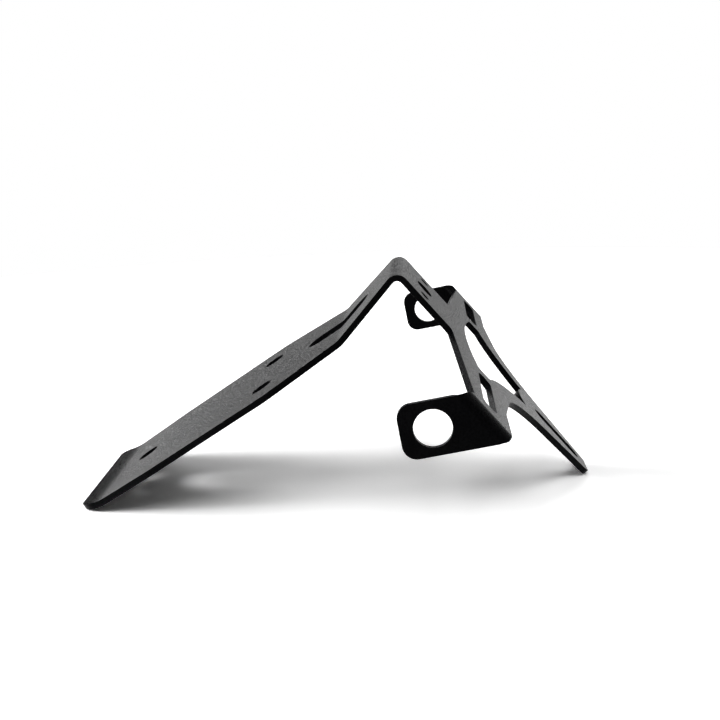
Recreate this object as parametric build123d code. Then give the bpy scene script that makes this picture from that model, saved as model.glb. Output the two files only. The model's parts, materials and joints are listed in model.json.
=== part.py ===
from build123d import *

import math
import os

# A motorbike tail tidy: one steel sheet, cut out flat and folded into an open V.
# The long tail plate bolts under the seat unit, the holder plate carries the number plate,
# and an ear folded down at each end of its arms takes an indicator stem.
# The part stands on its lip and on the tip of its tongue, with +Y across and +Z up.

# Sheet and folds: a fold is the angle that the sheet turns through, a bend its inside radius
sheet = 2.0
bend_inside = 1.8
lip_bend = 14.0
kink_bend = 7.0
lip_fold = 17.0
kink_fold = 15.7
peak_fold = 97.4

# Lengths along the sheet, between the sharp corners of its upper face
lip_length = 6.0
tail_length = 92.3
riser_length = 28.3
holder_length = 94.1

# Widths of the tail plate, and their places measured from the kink
lip_width = 64.0
flare_width = 75.0
flare_station = 71.7
waist_width = 80.0
waist_station = 27.0
kink_width = 60.0
lip_corner = 4.5
tail_corner = 12.0

# Holder plate, with places measured from the peak
neck_width = 44.0
neck_length = 25.8
neck_corner = 2.0
arm_station = 39.2
arm_top = 32.3
arm_low = 47.25
shoulder_width = 136.0
shoulder_corner = 6.0
root_station = 53.6
root_width = 50.8
root_corner = 36.0
tip_width = 13.2
tip_corner = 2.5

# Ears
ear_span = 190.0
ear_width = 15.2
ear_skew = 31.0
ear_hole = 10.5
ear_hole_reach = 16.0
ear_end = 9.0
ear_corner = 4.0
ear_flare = 1.2
ear_root_corner = 1.0

# Number plate slots
plate_slot_width = 5.5
side_slot_length = 37.6
side_slot_inset = 10.5
tongue_slot_length = 21.0
tongue_slot_inset = 4.7

# Opening in the holder plate
opening_bar = 7.4
opening_arch = 4.1
opening_bridge = 7.5
opening_web = 9.2
opening_foot = 31.7
opening_foot_rise = 2.5
opening_corner = 1.5
opening_foot_corner = 0.6

# Number plate light: a wire hole between two screw holes
light_station = 13.1
light_wire_hole = 6.0
light_screw_hole = 3.2
light_screw_pitch = 28.5

# Tail plate fixings and wire slot
tail_bolt_hole = 6.5
tail_bolt_pitch = 41.0
tail_bolt_station = 30.1
tail_end_hole = 6.5
tail_end_inset = 12.2
wire_slot_length = 25.4
wire_slot_width = 6.5

# Values that follow from the driving dimensions
bend_outside = bend_inside + sheet
ear_face = ear_span / 2
ear_sine = math.sin(math.radians(ear_skew))
ear_cosine = math.cos(math.radians(ear_skew))
ear_reach = ear_hole_reach + ear_end
ear_blank = ear_reach + ear_width
arm_end = ear_face - bend_outside
ear_top = (ear_width / 2 + bend_outside * ear_sine) / ear_cosine
ear_low = (ear_width / 2 - bend_outside * ear_sine) / ear_cosine
ear_root = arm_end - ear_flare * ear_cosine / ear_sine
side_slot_middle = ear_face - side_slot_inset - side_slot_length / 2
opening_half = side_slot_middle - side_slot_length / 2 - opening_bridge
pierce_depth = 5 * sheet


def heading(angle):
    return Vector(math.cos(math.radians(angle)), 0, math.sin(math.radians(angle)))


def face_normal(angle):
    return Vector(-math.sin(math.radians(angle)), 0, math.cos(math.radians(angle)))


def fold_slopes(tail_slope):
    riser_slope = tail_slope + kink_fold
    return tail_slope - lip_fold, tail_slope, riser_slope, riser_slope - peak_fold


def fold_corners(tail_slope):
    # Sharp corners of the upper face, from the lip's end to the tongue's tip
    slopes = fold_slopes(tail_slope)
    corners = [Vector(0, 0, 0)]
    for length, slope in zip((lip_length, tail_length, riser_length, holder_length), slopes):
        corners.append(corners[-1] + heading(slope) * length)
    return corners


def resting_slope():
    # Slope of the tail plate when the undersides of both ends lie level on the floor
    slopes = fold_slopes(0)
    corners = fold_corners(0)
    lip_foot = corners[0] - face_normal(slopes[0]) * sheet
    tongue_foot = corners[-1] - face_normal(slopes[-1]) * sheet
    across = tongue_foot - lip_foot
    return -math.degrees(math.atan2(across.Z, across.X))


lip_slope, tail_slope, riser_slope, holder_slope = fold_slopes(resting_slope())
lip_end, lip_line, kink, peak, tongue_tip = fold_corners(tail_slope)

tail_plane = Plane(kink, x_dir=-heading(tail_slope), z_dir=face_normal(tail_slope))
kink_slope = (tail_slope + riser_slope) / 2
kink_plane = Plane(kink, x_dir=-heading(kink_slope), z_dir=face_normal(kink_slope))
holder_plane = Plane(peak, x_dir=heading(holder_slope), z_dir=face_normal(holder_slope))


def both_halves(half):
    return half + mirror(half, about=Plane.XZ)


def through(plane, outline):
    # A prism square to a plate, deep enough to pass through it and its folds
    return extrude(plane * outline, amount=riser_length, both=True)


def pierce(plane, outline):
    return extrude(plane * outline, amount=pierce_depth, both=True)


def strip():
    # The folded section, drawn once along the upper face and given the sheet's thickness
    corners = [(corner.X, corner.Z) for corner in (lip_end, lip_line, kink, peak, tongue_tip)]
    upper = FilletPolyline(*corners, radius=[lip_bend, kink_bend, bend_outside])
    section = make_face(offset(upper, amount=sheet, side=Side.RIGHT))
    return extrude(Plane.XZ * section, amount=arm_end, both=True)


def tail_outline():
    # Seen square to the tail plate, with the lip and the riser foreshortened
    lip_reach = tail_length + lip_length * math.cos(math.radians(lip_fold))
    riser_reach = riser_length * math.cos(math.radians(kink_fold))
    bend_reach = bend_outside * math.tan(math.radians(peak_fold / 2))
    half = FilletPolyline(
        (lip_reach, 0),
        (lip_reach, lip_width / 2),
        (flare_station, flare_width / 2),
        (waist_station, waist_width / 2),
        (0, kink_width / 2),
        (bend_reach - riser_reach, neck_width / 2),
        (-riser_reach - bend_outside, neck_width / 2),
        (-riser_reach - bend_outside, 0),
        radius=[0, lip_corner, tail_corner, tail_corner, 0, 0, 0, 0],
        close=True,
    )
    return both_halves(make_face(half))


def holder_outline():
    # Neck, arms and tongue: each arm flares into its ear, and curves into the tongue below
    start = -bend_outside
    half = FilletPolyline(
        (start, 0),
        (start, neck_width / 2),
        (neck_length, neck_width / 2),
        (arm_top, ear_root),
        (arm_top - ear_flare, arm_end),
        (arm_low, arm_end),
        (arm_low, shoulder_width / 2),
        (root_station, root_width / 2),
        (holder_length, tip_width / 2),
        (holder_length, 0),
        radius=[0, 0, neck_corner, ear_root_corner, 0, 0, shoulder_corner, root_corner, tip_corner, 0],
        close=True,
    )
    return both_halves(make_face(half))


def root_centre():
    # Centre of the curve between an arm's lower edge and the tongue
    corner = Vector(root_station, root_width / 2)
    to_arm = (Vector(arm_low, shoulder_width / 2) - corner).normalized()
    to_tip = (Vector(holder_length, tip_width / 2) - corner).normalized()
    middle = (to_arm + to_tip).normalized()
    return corner + middle * (root_corner / middle.cross(to_arm).length)


def opening_outline():
    # An arched bar above, webs of even width along the root curves, and a raised foot
    top = neck_length + opening_bar
    bottom = holder_length - opening_foot
    arch = (opening_half**2 + opening_arch**2) / (2 * opening_arch)
    web = root_corner + opening_web
    centre = root_centre()
    foot_half = centre.Y - math.sqrt(web**2 - (centre.X - bottom) ** 2)
    foot = (foot_half**2 + opening_foot_rise**2) / (2 * opening_foot_rise)

    outline = Pos((top + bottom) / 2, 0) * Rectangle(bottom - top, 2 * opening_half)
    outline = outline & Pos(top + arch, 0) * Circle(arch)
    for side in (-1, 1):
        outline = outline - Pos(centre.X, side * centre.Y) * Circle(web)
    outline = outline - Pos(bottom - opening_foot_rise + foot, 0) * Circle(foot)
    outline = fillet(outline.vertices().sort_by(Axis.X)[:4], opening_corner)
    return fillet(outline.vertices().sort_by(Axis.X)[-2:], opening_foot_corner)


def holder_cuts():
    tongue_slot_middle = holder_length - tongue_slot_inset - tongue_slot_length / 2
    tongue_slot = SlotOverall(tongue_slot_length, plate_slot_width)
    side_slot = SlotOverall(side_slot_length, plate_slot_width, rotation=90)
    cuts = [
        opening_outline(),
        Pos(tongue_slot_middle, 0) * tongue_slot,
        Pos(light_station, 0) * Circle(light_wire_hole / 2),
    ]
    for side in (-1, 1):
        cuts.append(Pos(arm_station, side * side_slot_middle) * side_slot)
        cuts.append(Pos(light_station, side * light_screw_pitch / 2) * Circle(light_screw_hole / 2))
    return [pierce(holder_plane, cut) for cut in cuts]


def tail_cuts():
    cuts = [Pos(tail_length - tail_end_inset, 0) * Circle(tail_end_hole / 2)]
    for side in (-1, 1):
        cuts.append(Pos(tail_bolt_station, side * tail_bolt_pitch / 2) * Circle(tail_bolt_hole / 2))
    wire_slot = pierce(kink_plane, SlotOverall(wire_slot_length, wire_slot_width))
    return [pierce(tail_plane, cut) for cut in cuts] + [wire_slot]


def ear_outline():
    # In the ear's own plane, X runs down the ear from the upper face of the arm.
    # Its edges begin where the bend ends, and nothing above that line falls away.
    half = ear_width / 2
    along = Vector(ear_sine, ear_cosine) * ear_blank
    upward = Vector(-ear_cosine, ear_sine) * ear_blank
    start = Vector((bend_outside + half * ear_sine) / ear_cosine, half)
    turn = Vector((bend_outside - half * ear_sine) / ear_cosine, -half)
    outline = FilletPolyline(
        start,
        (ear_reach, half),
        (ear_reach, -half),
        turn,
        turn - along,
        turn - along + upward,
        start + along + upward,
        start + along,
        radius=[0, ear_corner, ear_corner, 0, 0, 0, 0, 0],
        close=True,
    )
    return make_face(outline)


def ear_plane():
    root = holder_plane.from_local_coords(Vector(arm_station, 0, 0))
    axis = holder_plane.x_dir * -ear_sine - holder_plane.z_dir * ear_cosine
    return Plane(root, x_dir=axis, z_dir=(0, 1, 0))


def bend_plane():
    # Square to an ear's bend: X across to the ear, Y out of the holder plate
    middle = holder_plane.from_local_coords(Vector(arm_station, 0, 0))
    return Plane(middle, x_dir=(0, 1, 0), z_dir=holder_plane.x_dir)


def wing():
    # The bend along an arm's end and the blank that hangs from it, before its outline is cut
    bend = Circle(bend_outside) - Circle(bend_inside)
    bend = bend & Pos(bend_outside / 2, bend_outside / 2) * Rectangle(bend_outside, bend_outside)
    leg = Pos(bend_inside + sheet / 2, -ear_blank / 2) * Rectangle(sheet, ear_blank)
    section = Pos(arm_end, -bend_outside, arm_low - arm_station) * (bend + leg)
    return extrude(bend_plane() * section, amount=-ear_blank)


def bend_trims():
    # An ear's edges run on round its bend, cut square to the sheet as they were when it was flat
    rise = ear_top - ear_flare - (arm_station - arm_top)
    rims = [Helix(4 * rise, rise, radius).edge() for radius in (bend_inside / 2, bend_outside + sheet)]
    edge = Face.make_surface_from_curves(*rims)
    above = Pos(0, 0, -ear_top) * extrude(edge, amount=ear_blank, dir=(0, 0, -1))
    below = Pos(0, 0, ear_low) * extrude(edge, amount=ear_blank, dir=(0, 0, 1))
    return [bend_plane() * Pos(arm_end, -bend_outside) * waste for waste in (above, below)]


def ear_trim():
    # What falls away round an ear, cut along Y, with the ear's hole
    plane = ear_plane()
    width = 2 * sheet + bend_outside
    size = 4 * ear_blank
    keep = ear_outline() - Pos(ear_hole_reach, 0) * Circle(ear_hole / 2)
    waste = plane * (Rectangle(size, size) - keep)
    return extrude(waste, amount=width).moved(Pos(0, arm_end - sheet, 0))


def bracket():
    blank = strip() & (through(tail_plane, tail_outline()) + through(holder_plane, holder_outline()))
    right = wing()
    blank = blank + right + mirror(right, about=Plane.XZ)
    trims = [ear_trim(), *bend_trims()]
    trims += [mirror(trim, about=Plane.XZ) for trim in trims]
    for cut in trims + holder_cuts() + tail_cuts():
        blank = blank - cut
    box = blank.bounding_box()
    return blank.moved(Pos(-box.center().X, 0, -box.min.Z))


folded_bracket = bracket()
os.makedirs("parts", exist_ok=True)
export_step(folded_bracket, "parts/folded_bracket.step")
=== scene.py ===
import bpy
import json
import math
from mathutils import Matrix, Vector


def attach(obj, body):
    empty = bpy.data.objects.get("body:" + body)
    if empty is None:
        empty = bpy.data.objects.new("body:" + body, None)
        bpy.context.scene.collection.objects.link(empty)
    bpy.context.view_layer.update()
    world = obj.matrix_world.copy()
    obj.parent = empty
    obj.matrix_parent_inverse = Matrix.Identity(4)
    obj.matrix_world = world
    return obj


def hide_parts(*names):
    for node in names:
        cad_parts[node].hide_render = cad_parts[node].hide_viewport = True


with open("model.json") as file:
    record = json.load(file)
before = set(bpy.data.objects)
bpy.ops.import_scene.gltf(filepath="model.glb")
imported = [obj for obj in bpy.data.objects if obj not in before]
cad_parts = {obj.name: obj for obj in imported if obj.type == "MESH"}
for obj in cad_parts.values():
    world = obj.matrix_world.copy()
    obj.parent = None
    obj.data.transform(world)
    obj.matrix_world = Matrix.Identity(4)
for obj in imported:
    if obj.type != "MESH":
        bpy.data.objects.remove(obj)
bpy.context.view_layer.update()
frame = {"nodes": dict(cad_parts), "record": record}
scene = bpy.context.scene
scene.view_settings.view_transform = "Standard"


def linearColour(code):  # sRGB hex to the linear colour that Blender's sockets take
    parts = [int(code[i:i + 2], 16) / 255 for i in (1, 3, 5)]
    return [c / 12.92 if c <= 0.04045 else ((c + 0.055) / 1.055) ** 2.4 for c in parts] + [1.0]


def addNode(tree, kind, settings=None, links=None):  # values by socket name, then incoming links by socket
    node = tree.nodes.new(kind)
    for name, value in (settings or {}).items():
        if name in node.inputs:
            node.inputs[name].default_value = value
        else:
            setattr(node, name, value)
    for socket, source in (links or {}).items():
        tree.links.new(source, node.inputs[socket])
    return node


def newMaterial(name):
    material = bpy.data.materials.new(name)
    material.use_nodes = True
    material.node_tree.nodes.clear()
    return material, material.node_tree


# camera, as low and as near as the photographer stood
cameraSet = {
    "place": (0.02975, -0.43747, 0.13078),
    "yaw": 2.913,  # degrees, as the next two
    "down": 11.712,
    "roll": 2.377,
    "lens": 67.215,
    "nearest": 0.01,
}


def placeCamera():
    bpy.ops.object.select_all(action="DESELECT")
    bpy.ops.object.camera_add()
    camera = bpy.context.object
    camera.name = "photo_camera"
    yaw = Matrix.Rotation(math.radians(cameraSet["yaw"]), 4, "Z")
    tilt = Matrix.Rotation(math.radians(90 - cameraSet["down"]), 4, "X")
    roll = Matrix.Rotation(math.radians(-cameraSet["roll"]), 4, "Z")
    camera.matrix_world = Matrix.Translation(cameraSet["place"]) @ yaw @ tilt @ roll
    camera.data.lens = cameraSet["lens"]
    camera.data.clip_start = cameraSet["nearest"]
    scene.camera = camera
    print("camera placed")


placeCamera()

# openings that the photo shows wider than the solid has them: the sheet's copy is cut again there
openingSet = {
    "across": Vector((0, 1, 0)),  # the folds run this way
    "steps": 48,
    "depth": 0.016,  # through the sheet, with room to spare
    "kinkFromBolts": 0.0301,  # up the tail plate, from the pair of bolts
    "halfKink": 7.85,  # degrees; the wire slot is cut square to the middle of the kink
    "wireSlot": {"long": 0.0264, "wide": 0.0126},
    "mounts": {
        ("seat_bolt_left", "seat_bolt_right", "tail_end_bolt"): {"long": 0.0072, "wide": 0.0088},
        ("light_wire",): {"long": 0.0067, "wide": 0.0088},
        ("light_screw_left", "light_screw_right"): {"long": 0.0036, "wide": 0.0044},
        ("plate_slot_tongue",): {"long": 0.0217, "wide": 0.0078},
    },
    "weld": 0.00009,  # closes slivers beside the new walls
}


def cutOpening(sheet, place, axis, size):  # square to the sheet: long down its slope, wide along the folds
    bpy.ops.object.select_all(action="DESELECT")
    steps = openingSet["steps"]
    bore = min(size.values())
    bpy.ops.mesh.primitive_cylinder_add(vertices=steps, radius=bore / 2, depth=openingSet["depth"])
    cutter = bpy.context.object
    cutter.data.transform(Matrix.Rotation(math.pi / steps, 4, "Z"))  # so that no corner lies on an axis
    for corner in cutter.data.vertices:
        corner.co.x += math.copysign((size["long"] - bore) / 2, corner.co.x)
        corner.co.y += math.copysign((size["wide"] - bore) / 2, corner.co.y)
    across = openingSet["across"]
    turn = Matrix((across.cross(axis), across, axis)).transposed()
    cutter.matrix_world = Matrix.Translation(place) @ turn.to_4x4()
    bpy.context.view_layer.objects.active = sheet
    cut = sheet.modifiers.new("opening", "BOOLEAN")
    cut.operation = "DIFFERENCE"
    cut.solver = "EXACT"
    cut.object = cutter
    bpy.ops.object.modifier_apply(modifier=cut.name)
    bpy.data.objects.remove(cutter)


def cutOpenings(sheet):
    mounts = {mount["name"]: mount for mount in frame["record"]["mounts"]}
    for names, size in openingSet["mounts"].items():
        for name in names:
            cutOpening(sheet, Vector(mounts[name]["pos_m"]), Vector(mounts[name]["axis"]), size)
    boltAxis = Vector(mounts["seat_bolt_left"]["axis"])
    bolts = [Vector(mounts[name]["pos_m"]) for name in ("seat_bolt_left", "seat_bolt_right")]
    uphill = openingSet["across"].cross(boltAxis)
    kink = (bolts[0] + bolts[1]) / 2 + uphill * openingSet["kinkFromBolts"]
    lean = Matrix.Rotation(math.radians(-openingSet["halfKink"]), 3, "Y")
    cutOpening(sheet, kink, lean @ boltAxis, openingSet["wireSlot"])
    print("openings cut")


# the folded sheet, with the edges that a coat of powder leaves soft
bracketSet = {
    "node": "folded_bracket",
    "merge": 0.000001,
    "flatWithin": 0.4,  # degrees, so the flats become whole faces and the bends keep their facets
    "edgeRound": 0.0001,  # deburred, then softened by the coat
    "edgeSteps": 3,
    "cutEdgeFrom": 40,  # degrees between faces
    "smoothUpTo": 35,
}


def openSheet(sheet, weld):  # all of it picked in edit mode, and corners that meet made one
    bpy.ops.object.select_all(action="DESELECT")
    sheet.select_set(True)
    bpy.context.view_layer.objects.active = sheet
    bpy.ops.object.mode_set(mode="EDIT")
    bpy.ops.mesh.select_all(action="SELECT")
    bpy.ops.mesh.remove_doubles(threshold=weld)


def coatBracket():
    bare = frame["nodes"][bracketSet["node"]]
    sheet = bpy.data.objects.new("coated_bracket", bare.data.copy())
    scene.collection.objects.link(sheet)
    openSheet(sheet, bracketSet["merge"])
    bpy.ops.object.mode_set(mode="OBJECT")
    cutOpenings(sheet)
    openSheet(sheet, openingSet["weld"])
    bpy.ops.mesh.dissolve_limited(angle_limit=math.radians(bracketSet["flatWithin"]))
    bpy.ops.object.mode_set(mode="OBJECT")
    edge = sheet.modifiers.new("edge_round", "BEVEL")
    edge.width = bracketSet["edgeRound"]
    edge.segments = bracketSet["edgeSteps"]
    edge.limit_method = "ANGLE"
    edge.angle_limit = math.radians(bracketSet["cutEdgeFrom"])
    edge.miter_outer = "MITER_ARC"
    bpy.ops.object.modifier_apply(modifier=edge.name)
    bpy.ops.object.shade_smooth_by_angle(angle=math.radians(bracketSet["smoothUpTo"]))
    flats = sheet.modifiers.new("flat_faces", "WEIGHTED_NORMAL")
    flats.keep_sharp = True
    bpy.ops.object.modifier_apply(modifier=flats.name)
    print("bracket coated,", len(sheet.data.polygons), "faces")
    return sheet


bracket = coatBracket()

mmPerMetre = 1000

# black fine-texture powder coat, sprayed on steel and baked: nearly black face on, with a dry grey
# sheen where the light grazes it, and a fine even grit
coatSet = {
    "body": "#050506",
    "grit": "#0a0a0b",
    "gritSize": 0.6,  # mm; the real grit is 0.2 to 0.4 mm, drawn coarser so that it shows
    "gritLayers": 1.0,  # detail of the noise
    "gritHeight": 0.05,  # mm
    "gritSpan": (0.3, 0.7),  # where most of the noise lies
    "patch": 9.0,  # mm, the slow thick and thin of the spray
    "toneSpan": (0.15, 0.4),  # where grit times patch turns from body to grit
    "roughLow": 0.19,
    "roughHigh": 0.45,
    "ior": 1.3,  # paint is near 1.5; the open, dry surface mirrors less
    "faceOn": "#404040",  # and least of all face on
}


def powderCoat():
    material, tree = newMaterial("black_powder_coat_fine_texture")
    place = addNode(tree, "ShaderNodeTexCoord").outputs["Object"]
    gritSettings = {"Scale": mmPerMetre / coatSet["gritSize"], "Detail": coatSet["gritLayers"]}
    grit = addNode(tree, "ShaderNodeTexNoise", gritSettings, {"Vector": place}).outputs["Fac"]
    patchSettings = {"Scale": mmPerMetre / coatSet["patch"]}
    patch = addNode(tree, "ShaderNodeTexNoise", patchSettings, {"Vector": place}).outputs["Fac"]
    mixed = addNode(tree, "ShaderNodeMath", {"operation": "MULTIPLY"}, {0: grit, 1: patch})
    tone = addNode(tree, "ShaderNodeValToRGB", None, {"Fac": mixed.outputs["Value"]})
    stops = zip(tone.color_ramp.elements, coatSet["toneSpan"], (coatSet["body"], coatSet["grit"]))
    for stop, position, colour in stops:
        stop.position = position
        stop.color = linearColour(colour)
    rough = addNode(tree, "ShaderNodeMapRange", {
        "From Min": coatSet["gritSpan"][0], "From Max": coatSet["gritSpan"][1],
        "To Min": coatSet["roughLow"], "To Max": coatSet["roughHigh"],
    }, {"Value": grit})
    bumpSettings = {"Distance": coatSet["gritHeight"] / mmPerMetre}
    bump = addNode(tree, "ShaderNodeBump", bumpSettings, {"Height": grit})
    shader = addNode(tree, "ShaderNodeBsdfPrincipled", {
        "IOR": coatSet["ior"], "Specular Tint": linearColour(coatSet["faceOn"]),
    }, {
        "Base Color": tone.outputs["Color"],
        "Roughness": rough.outputs["Result"],
        "Normal": bump.outputs["Normal"],
    })
    addNode(tree, "ShaderNodeOutputMaterial", None, {"Surface": shader.outputs["BSDF"]})
    print("powder coat mixed")
    return material


bracket.data.materials.clear()
bracket.data.materials.append(powderCoat())
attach(bracket, "root")
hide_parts(bracketSet["node"])

# studio: white paper under the part, a white surround, and softboxes all round
studioSet = {
    "paperRadius": 0.6,
    "paperSides": 96,
    "paper": "#f7f7f7",
    "paperSeen": 1.45,  # how white the paper shows to the camera
    "surround": 0.01,  # light from all round, beside the softboxes
    "skyline": {  # white of the wall behind, from left to right, in the sheen alone
        -0.5: 0.0,
        -0.4: 0.05,
        -0.3: 0.55,
        -0.2: 1.0,
        0.05: 1.0,
        0.2: 0.63,
        0.3: 0.58,
    },
    "skySlant": -1.0,  # the dark left end leans in with height
    "skyFrom": 0.02,  # above this the wall grows greyer
    "skyTo": 0.12,
    "skyGrey": 0.66,
    "aimHeight": 0.03,  # the softboxes point here, over the middle
    "softboxes": {  # degrees, metres and watts
        "left": {"turn": 180, "height": 20, "far": 1.3, "wide": 0.9, "tall": 0.55, "watt": 28.5},
        "leftBack": {"turn": 160, "height": 14, "far": 1.3, "wide": 0.5, "tall": 0.5, "watt": 14},
        "right": {"turn": 0, "height": 50, "far": 1.1, "wide": 1.6, "tall": 1.2, "watt": 6.4},
        "back": {"turn": 80, "height": 30, "far": 1.4, "wide": 0.6, "tall": 0.6, "watt": 6.9},
        "front": {"turn": 270, "height": 60, "far": 1.2, "wide": 0.7, "tall": 0.7, "watt": 3.6},
    },
}


def layPaper():
    bpy.ops.object.select_all(action="DESELECT")
    bpy.ops.mesh.primitive_circle_add(
        vertices=studioSet["paperSides"], radius=studioSet["paperRadius"], fill_type="NGON")
    floor = bpy.context.object
    floor.name = "paper_floor"
    material, tree = newMaterial("white_paper")  # matt, and shown to the camera as white
    path = addNode(tree, "ShaderNodeLightPath")
    level = addNode(tree, "ShaderNodeMapRange", {"To Min": 1.0, "To Max": studioSet["paperSeen"]},
                    {"Value": path.outputs["Is Camera Ray"]})
    tone = addNode(tree, "ShaderNodeVectorMath", {"operation": "SCALE"}, {"Scale": level.outputs["Result"]})
    tone.inputs[0].default_value = linearColour(studioSet["paper"])[:3]
    shader = addNode(tree, "ShaderNodeBsdfDiffuse", None, {"Color": tone.outputs["Vector"]})
    addNode(tree, "ShaderNodeOutputMaterial", None, {"Surface": shader.outputs["BSDF"]})
    floor.data.materials.append(material)


def lightSurround():
    world = bpy.data.worlds.new("white_surround")
    scene.world = world
    world.use_nodes = True
    tree = world.node_tree
    tree.nodes.clear()
    path = addNode(tree, "ShaderNodeLightPath").outputs
    aim = addNode(tree, "ShaderNodeTexCoord").outputs["Generated"]
    parts = addNode(tree, "ShaderNodeSeparateXYZ", None, {"Vector": aim})
    lean = addNode(tree, "ShaderNodeVectorMath", {"operation": "DOT_PRODUCT"}, {0: aim})
    lean.inputs[1].default_value = (1, 0, studioSet["skySlant"])
    along = addNode(tree, "ShaderNodeMapRange", {"From Min": -1.0}, {"Value": lean.outputs["Value"]})
    wall = addNode(tree, "ShaderNodeValToRGB", None, {"Fac": along.outputs["Result"]})
    stops = wall.color_ramp.elements
    for place, white in studioSet["skyline"].items():
        stop = stops.new((place + 1) / 2)  # -1 to 1 in the sky is 0 to 1 on the ramp
        stop.color = (white, white, white, 1)
    stops.remove(stops[0])
    stops.remove(stops[len(stops) - 1])
    grey = addNode(tree, "ShaderNodeMapRange", {
        "From Min": studioSet["skyFrom"], "From Max": studioSet["skyTo"],
        "To Min": 1.0, "To Max": studioSet["skyGrey"],
    }, {"Value": parts.outputs["Z"]})
    sweep = addNode(tree, "ShaderNodeMath", {"operation": "MULTIPLY"},
                    {0: wall.outputs["Color"], 1: grey.outputs["Result"]})
    mirrored = addNode(tree, "ShaderNodeMath", {"operation": "MAXIMUM"},
                       {0: path["Is Glossy Ray"], 1: path["Is Transmission Ray"]})
    inSheen = addNode(tree, "ShaderNodeMapRange", {"To Min": studioSet["surround"]},
                      {"Value": mirrored.outputs["Value"], "To Max": sweep.outputs["Value"]})
    strength = addNode(tree, "ShaderNodeMath", {"operation": "MAXIMUM"},
                       {0: inSheen.outputs["Result"], 1: path["Is Camera Ray"]})
    light = addNode(tree, "ShaderNodeBackground", {"Color": (1, 1, 1, 1)},
                    {"Strength": strength.outputs["Value"]})
    addNode(tree, "ShaderNodeOutputWorld", None, {"Surface": light.outputs["Background"]})


def hangSoftbox(name, box):
    turn = math.radians(box["turn"])
    height = math.radians(box["height"])
    flat = box["far"] * math.cos(height)
    place = Vector((flat * math.cos(turn), flat * math.sin(turn), box["far"] * math.sin(height)))
    bpy.ops.object.select_all(action="DESELECT")
    bpy.ops.object.light_add(type="AREA", location=place)
    lamp = bpy.context.object
    lamp.name = "softbox_" + name
    lamp.data.shape = "RECTANGLE"
    lamp.data.size = box["wide"]
    lamp.data.size_y = box["tall"]
    lamp.data.energy = box["watt"]
    target = Vector((0, 0, studioSet["aimHeight"]))
    lamp.rotation_euler = (target - place).to_track_quat("-Z", "Y").to_euler()
    lamp.visible_camera = False
    lamp.visible_glossy = False  # the sheen comes from the white surround


layPaper()
lightSurround()
for name, box in studioSet["softboxes"].items():
    hangSoftbox(name, box)
print("studio set")
